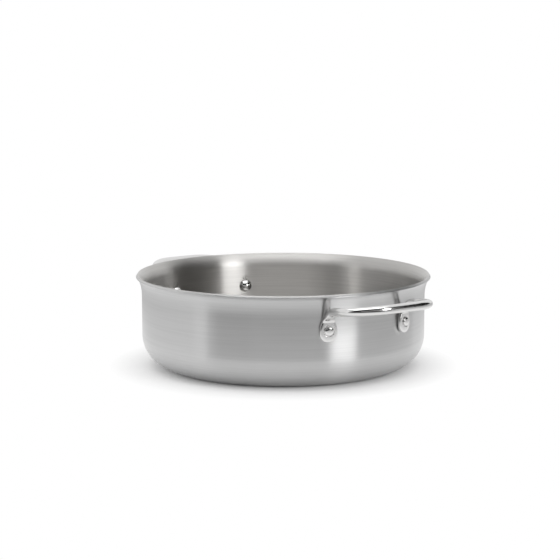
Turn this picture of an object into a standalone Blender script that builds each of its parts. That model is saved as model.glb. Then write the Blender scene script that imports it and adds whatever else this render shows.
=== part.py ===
"""A straight-sided stainless steel saute pan with two riveted loop handles.

The pan stands on z = 0 with its axis on Z, and its handles point along +X and -X. Units are metres.
The body is drawn from clad sheet: a stainless cooking ply, an aluminium core and a magnetic
stainless ply. It has a flat base, a large corner radius and a lip that flares outwards for pouring.
Each handle is a cast loop. Its two ends flatten into pads, which are hollowed to sit on the round
wall. One rivet goes through each pad and the wall, with its dome inside the pan and its tail on
the pad.
"""

from math import acos, asin, atan2, copysign, cos, hypot, pi, radians, sin, sqrt

import bmesh
import bpy
from mathutils import Matrix, Vector

# Clad sheet, from the cooking side out
INNER_PLY = 0.0005
CORE_PLY = 0.0014
OUTER_PLY = 0.0005

# Gap between pieces that touch on the real pan
SEAT_GAP = 0.0003

# Pan body
INNER_DIAMETER = 0.280
PAN_HEIGHT = 0.0930
CORNER_RADIUS = 0.0320
FLARE_RADIUS = 0.0130
FLARE_ANGLE = radians(57)

# Rivets
RIVET_SPACING = 0.0898
RIVET_BELOW_RIM = 0.0344
SHANK_DIAMETER = 0.0064
HEAD_DIAMETER = 0.0138
HEAD_HEIGHT = 0.0048
TAIL_DIAMETER = 0.0086
TAIL_HEIGHT = 0.0024
TAIL_EDGE_HEIGHT = 0.0012

# Pads at the ends of the loop
PAD_WIDTH = 0.0170
PAD_BELOW_RIVET = 0.0112
PAD_THICKNESS = 0.0038
PAD_SQUARENESS = 5.0
PAD_TAPER_LENGTH = 0.0150
PAD_FACE_ABOVE_RIVET = 0.0080
SPOT_FACE_DIAMETER = 0.0104
SPOT_FACE_DEPTH = 0.0003

# Loop of the handle
LOOP_BELOW_RIM = 0.0150
LOOP_TILT = radians(7.5)
LOOP_REACH = 0.0550
LOOP_CORNER_RADIUS = 0.0315
ARM_SPLAY = radians(0.5)
NECK_BEND_RADIUS = 0.0115
NECK_WIDTH = 0.0097
NECK_DEPTH = 0.0084
NECK_SWELL_LENGTH = 0.0090
GRIP_WIDTH = 0.0138
GRIP_THICKNESS = 0.0088
GRIP_BOW_RADIUS = 0.3800
ROUND = 2.0

# Fineness of the facets
PAN_SEGMENTS = 60
CORNER_STEPS = 6
FLARE_STEPS = 4
RIVET_SEGMENTS = 16
DOME_STEPS = 4
SECTION_POINTS = 16
PAD_END_STEPS = 4
PAD_TAPER_STEPS = 3
BEND_STEPS = 6
LOOP_CORNER_STEPS = 6
GRIP_STEPS = 2

# Sizes that follow from those above
WALL = INNER_PLY + CORE_PLY + OUTER_PLY + 2 * SEAT_GAP
OUTER_RADIUS = INNER_DIAMETER / 2 + WALL
BASE_RADIUS = OUTER_RADIUS - CORNER_RADIUS
FLARE_START = PAN_HEIGHT - (FLARE_RADIUS + WALL) * sin(FLARE_ANGLE)
RIVET_HEIGHT = PAN_HEIGHT - RIVET_BELOW_RIM
RIVET_ANGLE = asin(RIVET_SPACING / 2 / OUTER_RADIUS)
HOLE_DIAMETER = SHANK_DIAMETER + 2 * SEAT_GAP
PAD_BACK = OUTER_RADIUS + SEAT_GAP
LOOP_ROOT_HEIGHT = PAN_HEIGHT - LOOP_BELOW_RIM


def clear_scene():
    for thing in list(bpy.data.objects):
        bpy.data.objects.remove(thing)


def metal(name, colour, roughness):
    """A plain metal in one colour, with the roughness of its finish."""
    material = bpy.data.materials.new(name)
    material.use_nodes = True
    shader = material.node_tree.nodes["Principled BSDF"]
    shader.inputs["Base Color"].default_value = (*colour, 1.0)
    shader.inputs["Metallic"].default_value = 1.0
    shader.inputs["Roughness"].default_value = roughness
    return material


def add_object(name, mesh, material=None):
    piece = bpy.data.objects.new(name, mesh)
    bpy.context.scene.collection.objects.link(piece)
    if material:
        mesh.materials.append(material)
    return piece


def finish_mesh(bm, name):
    """Turns the faces outwards and shades them smooth, with edges over 35 degrees left sharp."""
    bmesh.ops.recalc_face_normals(bm, faces=bm.faces)
    mesh = bpy.data.meshes.new(name)
    bm.to_mesh(mesh)
    bm.free()
    mesh.shade_smooth()
    mesh.set_sharp_from_angle(angle=radians(35))
    return mesh


def revolve(outline, segments, name):
    """Turns an outline of (radius, height) points about Z. Points at radius 0 become one point."""
    bm = bmesh.new()
    rings = []
    for radius, height in outline:
        if radius == 0:
            rings.append([bm.verts.new((0, 0, height))] * segments)
            continue
        turns = [2 * pi * k / segments for k in range(segments)]
        rings.append([bm.verts.new((radius * cos(t), radius * sin(t), height)) for t in turns])
    for lower, upper in zip(rings, rings[1:] + rings[:1]):
        for k in range(segments):
            after = (k + 1) % segments
            corners = dict.fromkeys((lower[k], lower[after], upper[after], upper[k]))
            if len(corners) > 2:
                bm.faces.new(corners)
    return finish_mesh(bm, name)


def skin(rings, name):
    """Joins rings of points into one closed skin, with a flat cap at each end."""
    bm = bmesh.new()
    rows = [[bm.verts.new(point) for point in ring] for ring in rings]
    for low, high in zip(rows, rows[1:]):
        for k in range(len(low)):
            after = (k + 1) % len(low)
            bm.faces.new((low[k], low[after], high[after], high[k]))
    bm.faces.new(rows[0])
    bm.faces.new(rows[-1])
    return finish_mesh(bm, name)


def cut(piece, cutter):
    boolean = piece.modifiers.new(cutter.name, "BOOLEAN")
    boolean.operation = "DIFFERENCE"
    boolean.object = cutter


def wall_line(depth):
    """The pan's section at one depth inside its outer face, from the axis out to the lip."""
    line = [(0, depth), (BASE_RADIUS, depth)]
    corner = CORNER_RADIUS - depth
    for step in range(1, CORNER_STEPS + 1):
        turn = step / CORNER_STEPS * pi / 2
        line.append((BASE_RADIUS + corner * sin(turn), CORNER_RADIUS - corner * cos(turn)))
    flare = FLARE_RADIUS + depth
    for step in range(FLARE_STEPS + 1):
        turn = step / FLARE_STEPS * FLARE_ANGLE
        line.append((OUTER_RADIUS + FLARE_RADIUS - flare * cos(turn), FLARE_START + flare * sin(turn)))
    return line


def make_ply(name, depth, thickness, material, drills):
    """One layer of the clad sheet, drawn to the pan's shape and drilled for the rivets."""
    outline = wall_line(depth) + wall_line(depth + thickness)[::-1]
    ply = add_object(name, revolve(outline, PAN_SEGMENTS, name), material)
    cut(ply, drills)


def rivet_bearings():
    """Each rivet's bearing about Z. Left and right are as seen from outside, facing the handle."""
    return {
        "front_handle_left_rivet": -RIVET_ANGLE,
        "front_handle_right_rivet": RIVET_ANGLE,
        "back_handle_left_rivet": pi - RIVET_ANGLE,
        "back_handle_right_rivet": pi + RIVET_ANGLE,
    }


def on_wall(bearing, outwards=0.0):
    """Where a rivet's axis meets the wall's outer face, with +Z turned to point out of the pan."""
    radius = OUTER_RADIUS + outwards
    place = Matrix.Translation((radius * cos(bearing), radius * sin(bearing), RIVET_HEIGHT))
    return place @ Matrix.Rotation(bearing, 4, "Z") @ Matrix.Rotation(pi / 2, 4, "Y")


def make_cutter(name, diameter, length, outwards):
    """Four hidden cylinders on the rivets' axes, to cut with."""
    bm = bmesh.new()
    for bearing in rivet_bearings().values():
        bmesh.ops.create_cone(
            bm, cap_ends=True, segments=RIVET_SEGMENTS, radius1=diameter / 2,
            radius2=diameter / 2, depth=length, matrix=on_wall(bearing, outwards),
        )
    cutter = add_object(name, finish_mesh(bm, name))
    cutter.hide_render = True
    cutter.display_type = "WIRE"
    return cutter


def rivet_mesh():
    """A solid rivet along Z: dome, shank and tail. Height 0 is the wall's outer face."""
    head_radius = HEAD_DIAMETER / 2
    shank_radius = SHANK_DIAMETER / 2
    tail_radius = TAIL_DIAMETER / 2
    # The dome's flat underside meets the hollow side of the round wall at the dome's rim
    wall_inside = INNER_DIAMETER / 2 * cos(pi / PAN_SEGMENTS) - SEAT_GAP
    head_seat = sqrt(wall_inside**2 - head_radius**2) - OUTER_RADIUS
    tail_seat = PAD_BACK + PAD_THICKNESS - SPOT_FACE_DEPTH + SEAT_GAP - OUTER_RADIUS
    dome_radius = (head_radius**2 + HEAD_HEIGHT**2) / (2 * HEAD_HEIGHT)
    dome_centre = head_seat - HEAD_HEIGHT + dome_radius
    dome_reach = atan2(head_radius, dome_radius - HEAD_HEIGHT)
    outline = []
    for step in range(DOME_STEPS + 1):
        turn = step / DOME_STEPS * dome_reach
        outline.append((dome_radius * sin(turn), dome_centre - dome_radius * cos(turn)))
    outline += [
        (shank_radius, head_seat),
        (shank_radius, tail_seat),
        (tail_radius, tail_seat),
        (tail_radius, tail_seat + TAIL_EDGE_HEIGHT),
        (tail_radius * cos(pi / 4), tail_seat + TAIL_EDGE_HEIGHT
         + (TAIL_HEIGHT - TAIL_EDGE_HEIGHT) * sin(pi / 4)),
        (0, tail_seat + TAIL_HEIGHT),
    ]
    return revolve(outline, RIVET_SEGMENTS, "rivet")


def ease(share):
    """Runs from 0 to 1 with level ends."""
    share = min(max(share, 0), 1)
    return share * share * (3 - 2 * share)


def mix(low, high, share):
    return low + (high - low) * share


def section(width, depth, squareness, end=0):
    """Points round the bar's section: an ellipse at squareness 2, nearer a rectangle above it.

    In the bar's round end, end runs from 0 where the end begins to 1 at its tip.
    """
    points = []
    for k in range(SECTION_POINTS):
        turn = 2 * pi * (k + 0.5) / SECTION_POINTS
        across = copysign(sqrt(1 - end**2) * abs(cos(turn)) ** (2 / squareness), cos(turn))
        inside = 1 - hypot(across, end) ** squareness
        through = copysign(inside ** (1 / squareness), sin(turn))
        points.append((across * width / 2, through * depth / 2))
    return points


def ring_at(centre, across, through, shape):
    return [centre + across * a + through * t for a, t in shape]


def bar_shape(run):
    """The bar's section and its depth, at a run along it above the rivet."""
    taper = ease(run / PAD_TAPER_LENGTH)
    swell = ease((run - PAD_FACE_ABOVE_RIVET) / NECK_SWELL_LENGTH)
    depth = mix(PAD_THICKNESS, NECK_DEPTH, swell)
    return section(mix(PAD_WIDTH, NECK_WIDTH, taper), depth, mix(PAD_SQUARENESS, ROUND, swell)), depth


def pad_rings(bend_start):
    """The pad of the front handle's right end, bent to the round wall, up to the neck's bend."""
    levels = []
    for step in range(PAD_END_STEPS):
        turn = (step + 0.5) / PAD_END_STEPS * pi / 2
        height = RIVET_HEIGHT - PAD_BELOW_RIVET + PAD_WIDTH / 2 * (1 - cos(turn))
        shape = section(PAD_WIDTH, PAD_THICKNESS, PAD_SQUARENESS, cos(turn))
        levels.append((height, shape, PAD_THICKNESS))
    for step in range(PAD_TAPER_STEPS + 1):
        height = mix(RIVET_HEIGHT, bend_start, step / PAD_TAPER_STEPS)
        levels.append((height, *bar_shape(height - RIVET_HEIGHT)))
    rings = []
    for height, shape, depth in levels:
        ring = []
        for across, through in shape:
            bearing = RIVET_ANGLE + across / OUTER_RADIUS
            radius = PAD_BACK + depth / 2 + through
            ring.append(Vector((radius * cos(bearing), radius * sin(bearing), height)))
        rings.append(ring)
    return rings


def bend_rings(bend_start, bend_turn):
    """The neck's bend, from upright on the wall to the way of the arm.

    The bar's back follows a round bend. On the way, the bend's own heading swings from square to
    the wall to the splay of the arm. Returns the rings and the middle of the last one.
    """
    up = Vector((0, 0, 1))
    back_radius = NECK_BEND_RADIUS + NECK_DEPTH / 2
    back = Vector((PAD_BACK * cos(RIVET_ANGLE), PAD_BACK * sin(RIVET_ANGLE), bend_start))
    step_turn = bend_turn / BEND_STEPS
    rings = []
    for step in range(1, BEND_STEPS + 1):
        turn = step * step_turn
        half_way = turn - step_turn / 2
        heading = mix(RIVET_ANGLE, ARM_SPLAY, ease(half_way / bend_turn))
        level = Vector((cos(heading), sin(heading), 0))
        chord = 2 * back_radius * sin(step_turn / 2)
        back = back + (level * sin(half_way) + up * cos(half_way)) * chord
        heading = mix(RIVET_ANGLE, ARM_SPLAY, ease(turn / bend_turn))
        level = Vector((cos(heading), sin(heading), 0))
        shape, depth = bar_shape(bend_start - RIVET_HEIGHT + NECK_BEND_RADIUS * turn)
        through = level * cos(turn) - up * sin(turn)
        centre = back + through * depth / 2
        rings.append(ring_at(centre, up.cross(level), through, shape))
    return rings, centre


def loop_rings():
    """The rings of the front handle's right half, from the pad's end to the middle of the grip.

    The loop lies in a plane that tilts up as it leaves the pan. Its arm runs straight, then turns
    through a round corner into the grip, which is bowed a little outwards.
    """
    outwards = Vector((cos(LOOP_TILT), 0, sin(LOOP_TILT)))
    sideways = Vector((0, 1, 0))
    below = Vector((sin(LOOP_TILT), 0, -cos(LOOP_TILT)))
    bend_turn = acos(cos(ARM_SPLAY) * sin(LOOP_TILT))
    bend_start = LOOP_ROOT_HEIGHT - NECK_BEND_RADIUS * sin(bend_turn)
    bend, arm_start = bend_rings(bend_start, bend_turn)
    rings = pad_rings(bend_start) + bend

    # In the loop's plane: x runs outwards and y sideways from the handle's own middle line
    start = Vector((0, arm_start.y))
    arm_way = Vector((cos(ARM_SPLAY), sin(ARM_SPLAY)))
    to_middle = Vector((arm_way.y, -arm_way.x))
    grip_line = (OUTER_RADIUS + LOOP_REACH - GRIP_WIDTH / 2 - arm_start.x) / cos(LOOP_TILT)
    bow_centre = Vector((grip_line - GRIP_BOW_RADIUS, 0))
    # The corner touches the arm's line and the bowed grip's line from inside
    from_bow = start + to_middle * LOOP_CORNER_RADIUS - bow_centre
    reach = GRIP_BOW_RADIUS - LOOP_CORNER_RADIUS
    along = from_bow.dot(arm_way)
    arm_length = sqrt(along**2 - from_bow.length_squared + reach**2) - along
    corner_centre = start + arm_way * arm_length + to_middle * LOOP_CORNER_RADIUS
    spoke = corner_centre - bow_centre
    first_turn = ARM_SPLAY + pi / 2
    last_turn = atan2(spoke.y, spoke.x)
    places = []
    for step in range(LOOP_CORNER_STEPS + 1):
        turn = mix(first_turn, last_turn, step / LOOP_CORNER_STEPS)
        way = Vector((cos(turn), sin(turn)))
        places.append((corner_centre + way * LOOP_CORNER_RADIUS, way, step / LOOP_CORNER_STEPS))
    for step in range(1, GRIP_STEPS + 1):
        turn = last_turn * (1 - step / GRIP_STEPS)
        way = Vector((cos(turn), sin(turn)))
        places.append((bow_centre + way * GRIP_BOW_RADIUS, way, 1))
    for place, way, share in places:
        centre = Vector((arm_start.x, 0, arm_start.z)) + outwards * place.x + sideways * place.y
        across = outwards * way.x + sideways * way.y
        swell = ease(share)
        width = mix(NECK_WIDTH, GRIP_WIDTH, swell)
        thickness = mix(NECK_DEPTH, GRIP_THICKNESS, swell)
        rings.append(ring_at(centre, across, below, section(width, thickness, ROUND)))
    return rings


def handle_mesh():
    """The front handle's whole loop: its right half, then the same rings mirrored to the left."""
    half = loop_rings()
    mirrored = [[Vector((p.x, -p.y, p.z)) for p in ring] for ring in half[-2::-1]]
    return skin(half + mirrored, "handle")


def make_handle(name, bearing, mesh, material, cutters):
    handle = add_object(name, mesh.copy(), material)
    handle.rotation_euler.z = bearing
    for cutter in cutters:
        cut(handle, cutter)


clear_scene()

cooking_steel = metal("brushed cooking steel", (0.62, 0.61, 0.60), 0.28)
aluminium = metal("aluminium core", (0.80, 0.80, 0.81), 0.40)
magnetic_steel = metal("brushed magnetic steel", (0.64, 0.63, 0.62), 0.32)
cast_steel = metal("polished cast steel", (0.72, 0.71, 0.70), 0.14)
rivet_steel = metal("polished rivet steel", (0.75, 0.74, 0.73), 0.10)

drills = make_cutter("rivet_drills", HOLE_DIAMETER, 4 * (WALL + PAD_THICKNESS), 0)
spot_length = GRIP_THICKNESS
spot_face = make_cutter(
    "spot_face_cutter", SPOT_FACE_DIAMETER, spot_length,
    SEAT_GAP + PAD_THICKNESS - SPOT_FACE_DEPTH + spot_length / 2,
)

make_ply("outer_ply", 0, OUTER_PLY, magnetic_steel, drills)
make_ply("core_ply", OUTER_PLY + SEAT_GAP, CORE_PLY, aluminium, drills)
make_ply("inner_ply", OUTER_PLY + CORE_PLY + 2 * SEAT_GAP, INNER_PLY, cooking_steel, drills)

handle_shape = handle_mesh()
make_handle("front_handle", 0, handle_shape, cast_steel, (drills, spot_face))
make_handle("back_handle", pi, handle_shape, cast_steel, (drills, spot_face))

rivet_shape = rivet_mesh()
rivet_shape.materials.append(rivet_steel)
for rivet_name, rivet_bearing in rivet_bearings().items():
    rivet = add_object(rivet_name, rivet_shape)
    rivet.matrix_world = on_wall(rivet_bearing)
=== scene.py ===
from math import acos, asin, atan2, copysign, cos, hypot, pi, radians, sin, sqrt

import bmesh
import bpy
from mathutils import Matrix, Vector


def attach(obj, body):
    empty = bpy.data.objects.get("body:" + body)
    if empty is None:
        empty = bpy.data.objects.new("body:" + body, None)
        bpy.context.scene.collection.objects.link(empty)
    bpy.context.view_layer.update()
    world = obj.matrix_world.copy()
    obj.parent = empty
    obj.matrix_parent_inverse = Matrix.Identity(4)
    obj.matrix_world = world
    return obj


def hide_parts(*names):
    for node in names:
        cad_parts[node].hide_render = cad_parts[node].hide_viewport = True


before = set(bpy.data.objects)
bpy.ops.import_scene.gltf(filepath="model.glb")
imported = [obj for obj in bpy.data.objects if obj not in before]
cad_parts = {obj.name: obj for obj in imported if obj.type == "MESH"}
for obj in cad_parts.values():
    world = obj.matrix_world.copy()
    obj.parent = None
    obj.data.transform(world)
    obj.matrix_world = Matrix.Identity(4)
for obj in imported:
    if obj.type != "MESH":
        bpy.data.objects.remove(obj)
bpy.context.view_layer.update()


# Outer ply of the body
# The magnetic stainless layer that is seen from outside. It is rolled into one sheet with the two
# layers inside it, drawn to a flat base, a straight wall and a flared lip, and ground round the pan.

OUTER_PLY = 0.0005
CORE_PLY = 0.0014
INNER_PLY = 0.0005
SEAT_GAP = 0.0003
SEAM = 0.00002
WALL = OUTER_PLY + CORE_PLY + INNER_PLY + 2 * SEAT_GAP

INNER_DIAMETER = 0.280
PAN_HEIGHT = 0.0930
OUTER_RADIUS = INNER_DIAMETER / 2 + WALL
CORNER_RADIUS = 0.0320
BASE_RADIUS = OUTER_RADIUS - CORNER_RADIUS
FLARE_ANGLE = radians(57)
# Each bend of the flare: its radius at the outer face, and the angle that it ends at. Inside, the wall
# turns at once. Outside, the sheet thickens first, and the turn is gentle where it starts.
FLARE_INSIDE = ((0.0130, FLARE_ANGLE),)
FLARE_OUTSIDE = ((0.0510, radians(9)), (0.0285, radians(25)), (0.0082, FLARE_ANGLE))

PAN_SEGMENTS = 320
BASE_STEPS = 6
CORNER_STEPS = 22
WALL_STEPS = 5
FLARE_STEPS = 14
EDGE_STEPS = 4
SHARP_ANGLE = radians(35)


def steps(count):
    """Even shares of the way from 0 to 1, with both ends."""
    return [k / count for k in range(count + 1)]


def mix(low, high, share):
    """The value at a share of the way from low to high."""
    return low + (high - low) * share


def flare_bends(depth):
    """The bends of the flare at one depth in the sheet: each one's radius, end angle and centre."""
    bends = FLARE_OUTSIDE if depth < WALL / 2 else FLARE_INSIDE
    rise = 0
    last_turn = 0
    for radius, turn in bends:
        rise += radius * (sin(turn) - sin(last_turn))
        last_turn = turn
    centre_r = OUTER_RADIUS + bends[0][0]
    centre_z = PAN_HEIGHT - WALL * sin(FLARE_ANGLE) - rise
    placed = []
    for (radius, turn), (next_radius, _) in zip(bends, bends[1:] + bends[-1:]):
        placed.append((radius + depth, turn, centre_r, centre_z))
        centre_r -= (radius - next_radius) * cos(turn)
        centre_z += (radius - next_radius) * sin(turn)
    return placed


def sheet_line(depth, short_of_lip):
    """The pan's section at one depth inside its outer face, from the axis out to the lip.

    It stops short of the lip by the room that the rounded edge takes there.
    """
    line = [(BASE_RADIUS * share, depth) for share in steps(BASE_STEPS)]
    corner = CORNER_RADIUS - depth
    for share in steps(CORNER_STEPS)[1:]:
        turn = share * pi / 2
        line.append((BASE_RADIUS + corner * sin(turn), CORNER_RADIUS - corner * cos(turn)))
    wall_radius, wall_foot = line[-1]
    bends = flare_bends(depth)
    _, _, _, wall_top = bends[0]
    for share in steps(WALL_STEPS)[1:]:
        line.append((wall_radius, mix(wall_foot, wall_top, share)))
    last_turn = 0
    for radius, end, centre_r, centre_z in bends:
        stop = end - short_of_lip / radius if end == FLARE_ANGLE else end
        count = round(FLARE_STEPS * (end - last_turn) / FLARE_ANGLE) + 2
        for share in steps(count)[1:]:
            turn = mix(last_turn, stop, share)
            line.append((centre_r - radius * cos(turn), centre_z + radius * sin(turn)))
        last_turn = end
    return line


def ply_outline(depth, thickness, outer_edge, inner_edge):
    """One layer's closed section. Its cut edge at the lip has a rounded corner on each side."""
    outline = sheet_line(depth, outer_edge)
    for at_depth, edge, first_turn in ((depth, outer_edge, -pi / 2), (depth + thickness, inner_edge, 0)):
        radius, _, centre_r, centre_z = flare_bends(at_depth)[-1]
        lip_r = centre_r - radius * cos(FLARE_ANGLE)
        lip_z = centre_z + radius * sin(FLARE_ANGLE)
        inwards = edge if first_turn else -edge
        corner_r = lip_r - edge * sin(FLARE_ANGLE) - inwards * cos(FLARE_ANGLE)
        corner_z = lip_z - edge * cos(FLARE_ANGLE) + inwards * sin(FLARE_ANGLE)
        for share in steps(EDGE_STEPS):
            turn = pi / 2 - FLARE_ANGLE + first_turn + share * pi / 2
            outline.append((corner_r + edge * cos(turn), corner_z + edge * sin(turn)))
    return outline + sheet_line(depth + thickness, inner_edge)[::-1]


def smooth_mesh(name, points, faces):
    """A mesh that shades as one smooth surface, but for the edges that are truly sharp."""
    mesh = bpy.data.meshes.new(name)
    mesh.from_pydata(points, [], faces)
    mesh.shade_smooth()
    mesh.set_sharp_from_angle(angle=SHARP_ANGLE)
    return mesh


def turned_mesh(name, outline, segments):
    """Turns an outline of (radius, height) points about Z. Points at radius 0 become one point."""
    points = []
    rings = []
    for radius, height in outline:
        if radius == 0:
            rings.append([len(points)] * segments)
            points.append((0, 0, height))
            continue
        rings.append(list(range(len(points), len(points) + segments)))
        for k in range(segments):
            turn = 2 * pi * k / segments
            points.append((radius * cos(turn), radius * sin(turn), height))
    faces = []
    for lower, upper in zip(rings, rings[1:] + rings[:1]):
        for k in range(segments):
            after = (k + 1) % segments
            corners = tuple(dict.fromkeys((lower[k], lower[after], upper[after], upper[k])))
            if len(corners) > 2:
                faces.append(corners)
    return smooth_mesh(name, points, faces)


def put(name, mesh, material, place=None):
    """Adds a piece at its place in the pan's own frame, with its finish."""
    piece = bpy.data.objects.new(name, mesh)
    bpy.context.scene.collection.objects.link(piece)
    if place is not None:
        mesh.transform(place)
    mesh.materials.clear()
    mesh.materials.append(material)
    return piece


RIVET_SPACING = 0.0898
RIVET_BELOW_RIM = 0.0344
RIVET_HEIGHT = PAN_HEIGHT - RIVET_BELOW_RIM
RIVET_ANGLE = asin(RIVET_SPACING / 2 / OUTER_RADIUS)
RIVET_BEARINGS = {
    "front_handle_left_rivet": -RIVET_ANGLE,
    "front_handle_right_rivet": RIVET_ANGLE,
    "back_handle_left_rivet": pi - RIVET_ANGLE,
    "back_handle_right_rivet": pi + RIVET_ANGLE,
}
SHANK_DIAMETER = 0.0064
HOLE_DIAMETER = SHANK_DIAMETER + 2 * SEAT_GAP
DRILL_LENGTH = 0.030
DRILL_SIDES = 48
# The drill's own outline, with height 0 on the wall's outer face
STRAIGHT_DRILL = (
    (0, -DRILL_LENGTH / 2), (HOLE_DIAMETER / 2, -DRILL_LENGTH / 2),
    (HOLE_DIAMETER / 2, DRILL_LENGTH / 2), (0, DRILL_LENGTH / 2))
SAME_SPOT = 0.000001


def on_wall(bearing):
    """Where a rivet's axis meets the wall's outer face, with +Z turned to point out of the pan."""
    place = Matrix.Translation((OUTER_RADIUS * cos(bearing), OUTER_RADIUS * sin(bearing), RIVET_HEIGHT))
    return place @ Matrix.Rotation(bearing, 4, "Z") @ Matrix.Rotation(pi / 2, 4, "Y")


def drill(piece, outline, bearings):
    """Cuts a round hole in a piece on each rivet's axis, with a drill of that outline."""
    for bearing in bearings:
        mesh = turned_mesh("drill", outline, DRILL_SIDES)
        mesh.transform(on_wall(bearing))
        tool = bpy.data.objects.new("drill", mesh)
        bpy.context.scene.collection.objects.link(tool)
        cut = piece.modifiers.new("rivet hole", "BOOLEAN")
        cut.operation = "DIFFERENCE"
        cut.solver = "MANIFOLD"
        cut.object = tool
        holed = piece.evaluated_get(bpy.context.evaluated_depsgraph_get())
        drilled = bpy.data.meshes.new_from_object(holed)
        piece.modifiers.clear()
        # Where the hole's edge meets a ring of the piece, the cut leaves two corners in one spot
        joined = bmesh.new()
        joined.from_mesh(drilled)
        bmesh.ops.remove_doubles(joined, verts=joined.verts, dist=SAME_SPOT)
        joined.to_mesh(drilled)
        joined.free()
        piece.data = drilled
        bpy.data.objects.remove(tool)


class Flow:
    """One socket of a finish's nodes. A sum on values is written as a sum and adds its Math nodes."""

    def __init__(self, tree, socket=None):
        self.tree = tree
        self.socket = socket

    def node(self, kind, settings=None, sockets=None, output=0):
        """Any other node: its settings come first, then the values or links of its sockets."""
        made = self.tree.nodes.new(kind)
        for name, value in (settings or {}).items():
            setattr(made, name, value)
        for name, value in (sockets or {}).items():
            if isinstance(value, Flow):
                self.tree.links.new(value.socket, made.inputs[name])
            else:
                made.inputs[name].default_value = value
        return Flow(self.tree, made.outputs[output]) if made.outputs else made

    def maths(self, operation, first, second=0.0):
        return self.node("ShaderNodeMath", {"operation": operation}, {0: first, 1: second})

    def __add__(self, other):
        return self.maths("ADD", self, other)

    def __radd__(self, other):
        return self.maths("ADD", other, self)

    def __sub__(self, other):
        return self.maths("SUBTRACT", self, other)

    def __rsub__(self, other):
        return self.maths("SUBTRACT", other, self)

    def __mul__(self, other):
        return self.maths("MULTIPLY", self, other)

    def __rmul__(self, other):
        return self.maths("MULTIPLY", other, self)


def new_finish(name):
    """An empty material, and the start of its nodes."""
    material = bpy.data.materials.new(name)
    material.use_nodes = True
    material.node_tree.nodes.clear()
    return material, Flow(material.node_tree)


def close_finish(shader):
    shader.node("ShaderNodeOutputMaterial", sockets={"Surface": shader})


def cloud(place, scale, detail=2.0):
    """Soft noise from 0 to 1. Scale is in waves per metre."""
    return place.node("ShaderNodeTexNoise", {"noise_dimensions": "3D"},
                      {"Vector": place, "Scale": scale, "Detail": detail})


def ramp(value, start, length, top=1.0):
    """Rises from 0 to top as a value goes on from start by length."""
    return value.node("ShaderNodeMapRange", sockets={
        "Value": value, "From Min": start, "From Max": start + length, "To Max": top})


def shaded(mask, colour, contrast):
    """A colour made darker and lighter by a mask from 0 to 1, by half of contrast each way."""
    tone = 1.0 - contrast / 2 + mask * contrast
    return mask.node("ShaderNodeVectorMath", {"operation": "SCALE"}, {0: colour, "Scale": tone})


# The grinding: the lines' spacing, their streaks in a radian round the pan, and their depth
LINE_PITCH = 0.0016
LINE_STREAKS = 1.6
LINE_DEPTH = 0.00001
# Reflections are drawn out in full, and across the lines: a quarter turn from the way round the pan
DRAWN_OUT = 1.0
ACROSS_LINES = 0.25
# Faint patches in the gloss, and how soon the lip's own dulling comes in, going out from the wall
PATCH_WAVES = 14.0
PATCH_DULLING = 0.02
LIP_FADE = 0.0006


def ground_lines(place, level, radius):
    """Noise drawn out into fine lines round Z. Level is the place without its height."""
    round_way = place.node("ShaderNodeVectorMath", {"operation": "NORMALIZE"}, {0: level})
    height = place.node("ShaderNodeSeparateXYZ", sockets={0: place}, output="Z")
    across = place.node("ShaderNodeCombineXYZ", sockets={"Z": (radius + height) * (1 / LINE_PITCH)})
    along = place.node("ShaderNodeVectorMath", {"operation": "SCALE"}, {
        0: round_way, "Scale": LINE_STREAKS})
    spot = place.node("ShaderNodeVectorMath", {"operation": "ADD"}, {0: along, 1: across})
    return cloud(spot, 1.0)


def ground_steel(name, colour, roughness, contrast, lip_dulling):
    """Stainless steel ground in lines round the pan, which draw every reflection out up and down.

    Contrast is how far the lines differ in tone. Lip dulling is how much rougher the rolled lip is.
    """
    material, start = new_finish(name)
    place = start.node("ShaderNodeTexCoord", output="Object")
    level = place.node("ShaderNodeVectorMath", {"operation": "MULTIPLY"}, {0: place, 1: (1, 1, 0)})
    radius = place.node("ShaderNodeVectorMath", {"operation": "LENGTH"}, {0: level}, "Value")
    lines = ground_lines(place, level, radius)
    patches = cloud(place, PATCH_WAVES)
    lip = ramp(radius, INNER_DIAMETER / 2, LIP_FADE)
    shader = place.node("ShaderNodeBsdfPrincipled", sockets={
        "Base Color": shaded(lines, colour, contrast),
        "Metallic": 1.0,
        "Roughness": roughness - PATCH_DULLING / 2 + patches * PATCH_DULLING + lip * lip_dulling,
        "Anisotropic": DRAWN_OUT,
        "Anisotropic Rotation": ACROSS_LINES,
        "Normal": place.node("ShaderNodeBump", sockets={
            "Height": lines, "Strength": 1.0, "Distance": LINE_DEPTH}),
    })
    close_finish(shader)
    return material


LIP_UNDER_EDGE = 0.00036
LIP_TOP_EDGE = 0.00012
PLY_EDGE = 0.00008

outer_steel = ground_steel(
    "outer_steel", colour=(0.62, 0.62, 0.62), roughness=0.29, contrast=0.16, lip_dulling=0)
outer_section = ply_outline(0, OUTER_PLY, LIP_UNDER_EDGE, PLY_EDGE / 2)
outer_sheet = put("outer_sheet", turned_mesh("outer_sheet", outer_section, PAN_SEGMENTS), outer_steel)
drill(outer_sheet, STRAIGHT_DRILL, RIVET_BEARINGS.values())
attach(outer_sheet, "root")
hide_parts("outer_ply")


# Aluminium core
# The soft layer between the two steels, which spreads the heat. Only its cut edge shows, as a pale
# line round the lip, where the whole sheet was trimmed and polished at once.

CORE_DEPTH = OUTER_PLY + SEAM
CORE_THICKNESS = WALL - OUTER_PLY - INNER_PLY - 2 * SEAM
TRIM_WAVES = 300.0


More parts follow.
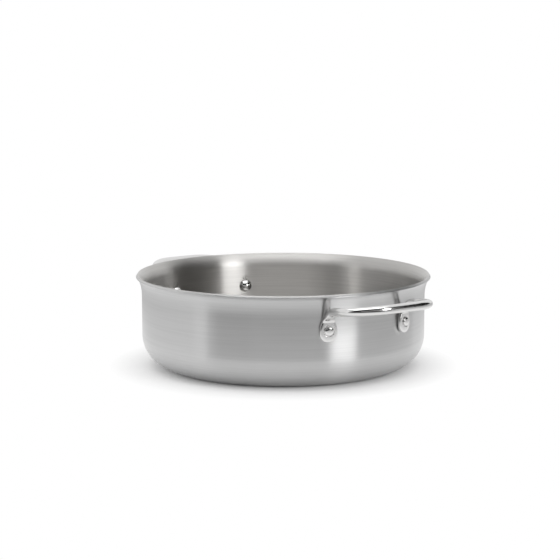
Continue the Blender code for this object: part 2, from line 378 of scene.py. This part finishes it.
def trimmed_metal(name, colour, roughness, contrast, dulling):
    """A cut edge that was polished with the lip, with small patches in its tone and gloss."""
    material, start = new_finish(name)
    place = start.node("ShaderNodeTexCoord", output="Object")
    patches = cloud(place, TRIM_WAVES)
    shader = place.node("ShaderNodeBsdfPrincipled", sockets={
        "Base Color": shaded(patches, colour, contrast),
        "Metallic": 1.0,
        "Roughness": roughness + patches * dulling,
    })
    close_finish(shader)
    return material


core_aluminium = trimmed_metal(
    "core_aluminium", colour=(0.66, 0.66, 0.655), roughness=0.38, contrast=0.12, dulling=0.10)
core_section = ply_outline(CORE_DEPTH, CORE_THICKNESS, PLY_EDGE, PLY_EDGE)
core_sheet = put("core_sheet", turned_mesh("core_sheet", core_section, PAN_SEGMENTS), core_aluminium)
drill(core_sheet, STRAIGHT_DRILL, RIVET_BEARINGS.values())
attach(core_sheet, "root")
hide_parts("core_ply")


# Inner ply
# The stainless layer that the food touches. It is drawn with the other two and ground round the pan
# in stronger lines than the outside. The bending of the lip leaves it a little duller there.

cooking_steel = ground_steel(
    "cooking_steel", colour=(0.615, 0.605, 0.59), roughness=0.31, contrast=0.22, lip_dulling=0.05)
inner_section = ply_outline(WALL - INNER_PLY, INNER_PLY, PLY_EDGE, LIP_TOP_EDGE)
inner_sheet = put("inner_sheet", turned_mesh("inner_sheet", inner_section, PAN_SEGMENTS), cooking_steel)
drill(inner_sheet, STRAIGHT_DRILL, RIVET_BEARINGS.values())
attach(inner_sheet, "root")
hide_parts("inner_ply")


# Loop handles
# Each is one stainless casting: an oval bar bent to a loop, with its two ends flattened into pads
# that are hollowed to sit on the round wall. It is polished all over, and spot faced for the rivets.

PAD_WIDTH = 0.0170
PAD_BELOW_RIVET = 0.0112
PAD_THICKNESS = 0.0038
PAD_SQUARENESS = 5.0
PAD_TAPER_LENGTH = 0.0150
PAD_FACE_ABOVE_RIVET = 0.0080
PAD_BACK = OUTER_RADIUS + SEAT_GAP
SPOT_FACE_DIAMETER = 0.0104
SPOT_FACE_DEPTH = 0.0003

LOOP_BELOW_RIM = 0.0150
LOOP_ROOT_HEIGHT = PAN_HEIGHT - LOOP_BELOW_RIM
LOOP_TILT = radians(7.5)
LOOP_REACH = 0.0548
LOOP_CORNER_RADIUS = 0.0315
ARM_SPLAY = radians(0.5)
NECK_BEND_RADIUS = 0.0115
NECK_WIDTH = 0.0097
NECK_DEPTH = 0.0084
NECK_SWELL_LENGTH = 0.0090
GRIP_WIDTH = 0.0138
GRIP_THICKNESS = 0.0088
GRIP_BOW_RADIUS = 0.3800
ROUND = 2.0
GRIP_SQUARENESS = 2.7

SECTION_POINTS = 64
PAD_END_STEPS = 16
PAD_TAPER_STEPS = 16
BEND_STEPS = 24
ARM_STEPS = 3
LOOP_CORNER_STEPS = 26
GRIP_STEPS = 8


def ease(share):
    """Runs from 0 to 1 with level ends."""
    share = min(max(share, 0), 1)
    return share * share * (3 - 2 * share)


def section(width, depth, squareness, end=0):
    """Points round the bar's section: an ellipse at squareness 2, nearer a rectangle above it.

    In the bar's round end, end runs from 0 where the end begins to 1 at its tip.
    """
    points = []
    for k in range(SECTION_POINTS):
        turn = 2 * pi * (k + 0.5) / SECTION_POINTS
        across = copysign(sqrt(1 - end**2) * abs(cos(turn)) ** (2 / squareness), cos(turn))
        inside = 1 - hypot(across, end) ** squareness
        through = copysign(inside ** (1 / squareness), sin(turn))
        points.append((across * width / 2, through * depth / 2))
    return points


def ring_at(centre, across, through, shape):
    """A section's points, laid out at a centre along two directions."""
    return [centre + across * a + through * t for a, t in shape]


def bar_shape(run):
    """The bar's section and its depth, at a run along it above the rivet."""
    taper = ease(run / PAD_TAPER_LENGTH)
    swell = ease((run - PAD_FACE_ABOVE_RIVET) / NECK_SWELL_LENGTH)
    depth = mix(PAD_THICKNESS, NECK_DEPTH, swell)
    return section(mix(PAD_WIDTH, NECK_WIDTH, taper), depth, mix(PAD_SQUARENESS, ROUND, swell)), depth


def pad_rings(bend_start):
    """The pad of the front handle's right end, bent to the round wall, up to the neck's bend."""
    levels = []
    for step in range(PAD_END_STEPS):
        turn = (step + 0.5) / PAD_END_STEPS * pi / 2
        height = RIVET_HEIGHT - PAD_BELOW_RIVET + PAD_WIDTH / 2 * (1 - cos(turn))
        shape = section(PAD_WIDTH, PAD_THICKNESS, PAD_SQUARENESS, cos(turn))
        levels.append((height, shape, PAD_THICKNESS))
    for share in steps(PAD_TAPER_STEPS):
        height = mix(RIVET_HEIGHT, bend_start, share)
        levels.append((height, *bar_shape(height - RIVET_HEIGHT)))
    rings = []
    for height, shape, depth in levels:
        ring = []
        for across, through in shape:
            bearing = RIVET_ANGLE + across / OUTER_RADIUS
            radius = PAD_BACK + depth / 2 + through
            ring.append(Vector((radius * cos(bearing), radius * sin(bearing), height)))
        rings.append(ring)
    return rings


def bend_rings(bend_start, bend_turn):
    """The neck's bend, from upright on the wall to the way of the arm.

    The bar's back follows a round bend. On the way, the bend's own heading swings from square to
    the wall to the splay of the arm. Returns the rings and the middle of the last one.
    """
    up = Vector((0, 0, 1))
    back_radius = NECK_BEND_RADIUS + NECK_DEPTH / 2
    back = Vector((PAD_BACK * cos(RIVET_ANGLE), PAD_BACK * sin(RIVET_ANGLE), bend_start))
    step_turn = bend_turn / BEND_STEPS
    rings = []
    for step in range(1, BEND_STEPS + 1):
        turn = step * step_turn
        half_way = turn - step_turn / 2
        heading = mix(RIVET_ANGLE, ARM_SPLAY, ease(half_way / bend_turn))
        level = Vector((cos(heading), sin(heading), 0))
        chord = 2 * back_radius * sin(step_turn / 2)
        back = back + (level * sin(half_way) + up * cos(half_way)) * chord
        heading = mix(RIVET_ANGLE, ARM_SPLAY, ease(turn / bend_turn))
        level = Vector((cos(heading), sin(heading), 0))
        shape, depth = bar_shape(bend_start - RIVET_HEIGHT + NECK_BEND_RADIUS * turn)
        through = level * cos(turn) - up * sin(turn)
        centre = back + through * depth / 2
        rings.append(ring_at(centre, up.cross(level), through, shape))
    return rings, centre


def loop_rings():
    """The rings of the front handle's right half, from the pad's end to the middle of the grip.

    The loop lies in a plane that tilts up as it leaves the pan. Its arm runs straight, then turns
    through a round corner into the grip, which is bowed a little outwards.
    """
    outwards = Vector((cos(LOOP_TILT), 0, sin(LOOP_TILT)))
    sideways = Vector((0, 1, 0))
    below = Vector((sin(LOOP_TILT), 0, -cos(LOOP_TILT)))
    bend_turn = acos(cos(ARM_SPLAY) * sin(LOOP_TILT))
    bend_start = LOOP_ROOT_HEIGHT - NECK_BEND_RADIUS * sin(bend_turn)
    bend, arm_start = bend_rings(bend_start, bend_turn)
    rings = pad_rings(bend_start) + bend

    # In the loop's plane: x runs outwards and y sideways from the handle's own middle line
    start = Vector((0, arm_start.y))
    arm_way = Vector((cos(ARM_SPLAY), sin(ARM_SPLAY)))
    to_middle = Vector((arm_way.y, -arm_way.x))
    grip_line = (OUTER_RADIUS + LOOP_REACH - GRIP_WIDTH / 2 - arm_start.x) / cos(LOOP_TILT)
    bow_centre = Vector((grip_line - GRIP_BOW_RADIUS, 0))
    # The corner touches the arm's line and the bowed grip's line from inside
    from_bow = start + to_middle * LOOP_CORNER_RADIUS - bow_centre
    reach = GRIP_BOW_RADIUS - LOOP_CORNER_RADIUS
    along = from_bow.dot(arm_way)
    arm_length = sqrt(along**2 - from_bow.length_squared + reach**2) - along
    corner_centre = start + arm_way * arm_length + to_middle * LOOP_CORNER_RADIUS
    spoke = corner_centre - bow_centre
    first_turn = ARM_SPLAY + pi / 2
    last_turn = atan2(spoke.y, spoke.x)
    places = []
    for share in steps(ARM_STEPS)[1:-1]:
        places.append((start + arm_way * arm_length * share, -to_middle, 0))
    for share in steps(LOOP_CORNER_STEPS):
        turn = mix(first_turn, last_turn, share)
        way = Vector((cos(turn), sin(turn)))
        places.append((corner_centre + way * LOOP_CORNER_RADIUS, way, share))
    for share in steps(GRIP_STEPS)[1:]:
        turn = last_turn * (1 - share)
        way = Vector((cos(turn), sin(turn)))
        places.append((bow_centre + way * GRIP_BOW_RADIUS, way, 1))
    for place, way, share in places:
        centre = Vector((arm_start.x, 0, arm_start.z)) + outwards * place.x + sideways * place.y
        across = outwards * way.x + sideways * way.y
        swell = ease(share)
        width = mix(NECK_WIDTH, GRIP_WIDTH, swell)
        thickness = mix(NECK_DEPTH, GRIP_THICKNESS, swell)
        shape = section(width, thickness, mix(ROUND, GRIP_SQUARENESS, swell))
        rings.append(ring_at(centre, across, below, shape))
    return rings


def skinned_mesh(name, rings):
    """Joins rings of points into one closed skin, with a small flat cap at each end."""
    count = len(rings[0])
    points = [point for ring in rings for point in ring]
    faces = [tuple(range(count))]
    for low in range(0, len(points) - count, count):
        for k in range(count):
            after = (k + 1) % count
            faces.append((low + k, low + count + k, low + count + after, low + after))
    faces.append(tuple(range(len(points) - count, len(points)))[::-1])
    return smooth_mesh(name, points, faces)


def handle_mesh():
    """The front handle's whole loop: its right half, then the same rings mirrored to the left."""
    half = loop_rings()
    mirrored = [[Vector((p.x, -p.y, p.z)) for p in ring] for ring in half[-2::-1]]
    return skinned_mesh("handle", half + mirrored)


POLISH_WAVES = 90.0
POLISH_CONTRAST = 0.06
POLISH_DULLING = 0.06
SWIM_WAVES = 160.0
SWIM_DEPTH = 0.00002
SCRATCH_WAVES = 2600.0
SCRATCH_SHARE = 0.02


def polished_steel(name, colour, roughness):
    """Polished stainless steel, with the slight swim and fine scratches of a hand-held finish."""
    material, start = new_finish(name)
    place = start.node("ShaderNodeTexCoord", output="Object")
    patches = cloud(place, POLISH_WAVES)
    swim = cloud(place, SWIM_WAVES, 1.0)
    scratches = cloud(place, SCRATCH_WAVES)
    shader = place.node("ShaderNodeBsdfPrincipled", sockets={
        "Base Color": shaded(patches, colour, POLISH_CONTRAST),
        "Metallic": 1.0,
        "Roughness": roughness + patches * POLISH_DULLING,
        "Normal": place.node("ShaderNodeBump", sockets={
            "Height": swim + scratches * SCRATCH_SHARE, "Strength": 1.0, "Distance": SWIM_DEPTH}),
    })
    close_finish(shader)
    return material


cast_steel = polished_steel("cast_steel", colour=(0.76, 0.755, 0.75), roughness=0.16)
TAIL_SPOT = SEAT_GAP + PAD_THICKNESS - SPOT_FACE_DEPTH
STEPPED_DRILL = (
    (0, -DRILL_LENGTH / 2), (HOLE_DIAMETER / 2, -DRILL_LENGTH / 2), (HOLE_DIAMETER / 2, TAIL_SPOT),
    (SPOT_FACE_DIAMETER / 2, TAIL_SPOT), (SPOT_FACE_DIAMETER / 2, TAIL_SPOT + GRIP_THICKNESS),
    (0, TAIL_SPOT + GRIP_THICKNESS))
for handle_name, bearing in (("front_handle", 0), ("back_handle", pi)):
    handle = put(handle_name + "_casting", handle_mesh(), cast_steel, Matrix.Rotation(bearing, 4, "Z"))
    own = [turn for name, turn in RIVET_BEARINGS.items() if name.startswith(handle_name)]
    drill(handle, STEPPED_DRILL, own)
    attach(handle, "root")
    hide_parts(handle_name)


# Rivets
# Solid stainless pins, one through each pad. The polished dome is inside the pan, and the shank is
# pressed out over the pad into a low round tail.

HEAD_DIAMETER = 0.0138
HEAD_HEIGHT = 0.0048
TAIL_DIAMETER = 0.0086
TAIL_HEIGHT = 0.0024
TAIL_EDGE_HEIGHT = 0.0012
TAIL_ROUNDING = 0.7
RIVET_SEGMENTS = 96
DOME_STEPS = 24
SNUG = 0.00004


def rivet_mesh():
    """A rivet along Z, with height 0 on the wall's outer face. Its sharp corners are eased."""
    head_radius = HEAD_DIAMETER / 2
    shank_radius = SHANK_DIAMETER / 2
    tail_radius = TAIL_DIAMETER / 2
    head_seat = sqrt((INNER_DIAMETER / 2 - SNUG) ** 2 - head_radius**2) - OUTER_RADIUS
    tail_seat = TAIL_SPOT + SNUG
    dome_radius = (head_radius**2 + HEAD_HEIGHT**2) / (2 * HEAD_HEIGHT)
    dome_centre = head_seat - HEAD_HEIGHT + dome_radius
    dome_reach = atan2(head_radius, dome_radius - HEAD_HEIGHT)
    outline = []
    for share in steps(DOME_STEPS):
        turn = share * dome_reach
        outline.append((dome_radius * sin(turn), dome_centre - dome_radius * cos(turn)))
    outline += [(shank_radius, head_seat), (shank_radius, tail_seat), (tail_radius, tail_seat)]
    # The tail: an upright edge, then an elliptical shoulder to a nearly flat top
    rise = TAIL_HEIGHT - TAIL_EDGE_HEIGHT
    for share in steps(DOME_STEPS)[:-1]:
        turn = share * pi / 2
        radius = tail_radius * cos(turn) ** TAIL_ROUNDING
        outline.append((radius, tail_seat + TAIL_EDGE_HEIGHT + rise * sin(turn)))
    outline.append((0, tail_seat + TAIL_HEIGHT))
    return turned_mesh("rivet", outline, RIVET_SEGMENTS)


rivet_steel = polished_steel("rivet_steel", colour=(0.76, 0.755, 0.75), roughness=0.06)
for rivet_name, bearing in RIVET_BEARINGS.items():
    rivet = put(rivet_name + "_pin", rivet_mesh(), rivet_steel, on_wall(bearing))
    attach(rivet, "root")
    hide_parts(rivet_name)


# Studio
# A white table in a white room, with a broad soft light overhead, a strong strip light on the right
# and a weaker one on the left. Grey walls and black cloth hang round them, but not behind the pan.

CAMERA_BEARING = radians(54.7)
TABLE_SIZE = 12.0
TABLE_FRONT = 0.68
TABLE_DROP = 0.0002
TABLE_WHITE = 0.95
# Away from the pan the lit table turns to plain white, for the camera and in the steel
SEEN_WHITE_START = 0.112
SEEN_WHITE_LENGTH = 0.065
MIRRORED_WHITE_START = 0.12
MIRRORED_WHITE_LENGTH = 0.07
# Painted shade: in the steel the white dims again farther out, standing for the less light that falls on
# the table there
PAINTED_DIM_START = 0.25
PAINTED_DIM_LENGTH = 0.30
PAINTED_DIM_SHARE = 0.45


def level_mesh(name, left, right, front, back, height):
    """A level rectangle, laid out as the camera sees it from its side of the pan."""
    corners = [(left, front, height), (right, front, height), (right, back, height), (left, back, height)]
    mesh = smooth_mesh(name, corners, [(0, 1, 2, 3)])
    mesh.transform(Matrix.Rotation(CAMERA_BEARING, 4, "Z"))
    return mesh


table_finish, start = new_finish("white_table")
place = start.node("ShaderNodeTexCoord", output="Object")
away = place.node("ShaderNodeVectorMath", {"operation": "LENGTH"}, {0: place}, "Value")
seen = start.node("ShaderNodeLightPath", output="Is Camera Ray")
mirrored = start.node("ShaderNodeLightPath", output="Is Glossy Ray")
seen_white = seen * ramp(away, SEEN_WHITE_START, SEEN_WHITE_LENGTH)
mirrored_white = mirrored * ramp(away, MIRRORED_WHITE_START, MIRRORED_WHITE_LENGTH)
# Painted shade: for reflections only, the table's glowing white is darkened farther from the pan
painted_dimming = mirrored * ramp(away, PAINTED_DIM_START, PAINTED_DIM_LENGTH, PAINTED_DIM_SHARE)
lit = start.node("ShaderNodeBsdfDiffuse", sockets={"Color": (TABLE_WHITE, TABLE_WHITE, TABLE_WHITE, 1)})
white = start.node("ShaderNodeEmission", sockets={"Color": 1.0 - painted_dimming})
close_finish(start.node("ShaderNodeMixShader", sockets={
    0: seen_white + mirrored_white, 1: lit, 2: white}))

half = TABLE_SIZE / 2
table_top = level_mesh("white_table", -half, half, -TABLE_FRONT, half, -TABLE_DROP)
table = put("white_table", table_top, table_finish)


PANEL_DISTANCE = 1.2
PANEL_STEPS = 12


def panel_mesh(name, left, right, low, high, lean):
    """An upright panel bent round the pan, between two bearings in degrees and two heights.

    Bearing 0 faces the camera's side of the pan, and plus is to the right of the picture. The left
    edge leans to the right by some degrees on its way up.
    """
    points = []
    for share in steps(PANEL_STEPS):
        for height, shift in ((low, 0), (high, lean)):
            bearing = radians(mix(left + shift, right, share)) + CAMERA_BEARING
            points.append((sin(bearing) * PANEL_DISTANCE, -cos(bearing) * PANEL_DISTANCE, height))
    faces = [(k, k + 1, k + 3, k + 2) for k in range(0, 2 * PANEL_STEPS, 2)]
    return smooth_mesh(name, points, faces)


def hang(name, mesh, level):
    """Hangs one panel that glows evenly, at a level where 1 is white. The camera looks through it."""
    finish, start = new_finish(name)
    close_finish(start.node("ShaderNodeEmission", sockets={"Strength": level}))
    panel = put(name, mesh, finish)
    panel.visible_camera = False


overhead = level_mesh("overhead_light", left=-0.45, right=0.30, front=-0.45, back=0.12, height=0.65)
hang("overhead_light", overhead, level=2.2)

# Each upright panel: its left and right bearing, its low and high edge, its lean and its level of light
PANELS = {
    "strip_light": (34, 57.5, 0.23, 0.66, 8, 6.9),
    "side_light": (-72, -61, 0.20, 0.60, 0, 1.35),
    "side_wall": (-61, -53, 0.20, 0.60, 0, 0.6),
    "pale_wall": (-25, 34, 0.20, 0.50, 0, 0.35),
    "dim_wall": (-53, -25, 0.20, 0.50, 0, 0.05),
    "black_cloth_low": (-58, 57.5, -0.45, 0.20, 0, 0.0),
    "black_cloth_front": (-85, 57.5, 0.84, 1.8, 0, 0.0),
    "black_cloth_under": (-53, 34, 0.50, 0.84, 0, 0.0),
    "black_cloth_right": (57.5, 122, 0.09, 1.30, 0, 0.0),
}
for name, (*edges, level) in PANELS.items():
    hang(name, panel_mesh(name, *edges), level)

ROOM_LEVEL = 0.86

world = bpy.data.worlds.new("studio")
world.use_nodes = True
world.node_tree.nodes.clear()
bpy.context.scene.world = world
sky = Flow(world.node_tree)
seen = sky.node("ShaderNodeLightPath", output="Is Camera Ray")
room = sky.node("ShaderNodeBackground", sockets={"Color": ROOM_LEVEL + seen * (1 - ROOM_LEVEL)})
room.node("ShaderNodeOutputWorld", sockets={"Surface": room})


# Camera
# It stands low and far off, with a long lens, and looks a little down. It is 35 degrees to the left
# of the front handle, as one faces that handle from outside.

CAMERA_DISTANCE = 1.8011
CAMERA_HEIGHT = 0.3631
CAMERA_PITCH = radians(8.762)
CAMERA_YAW = radians(0.104)
PICTURE_WIDTH = 560
FOCAL_PIXELS = 1798

camera = bpy.data.objects.new("camera", bpy.data.cameras.new("camera"))
bpy.context.scene.collection.objects.link(camera)
bpy.context.scene.camera = camera
camera.location = (
    CAMERA_DISTANCE * sin(CAMERA_BEARING), -CAMERA_DISTANCE * cos(CAMERA_BEARING), CAMERA_HEIGHT)
camera.rotation_euler = (pi / 2 - CAMERA_PITCH, 0, CAMERA_BEARING + CAMERA_YAW)
camera.data.lens = FOCAL_PIXELS / PICTURE_WIDTH * camera.data.sensor_width

bpy.context.scene.view_settings.view_transform = "Standard"
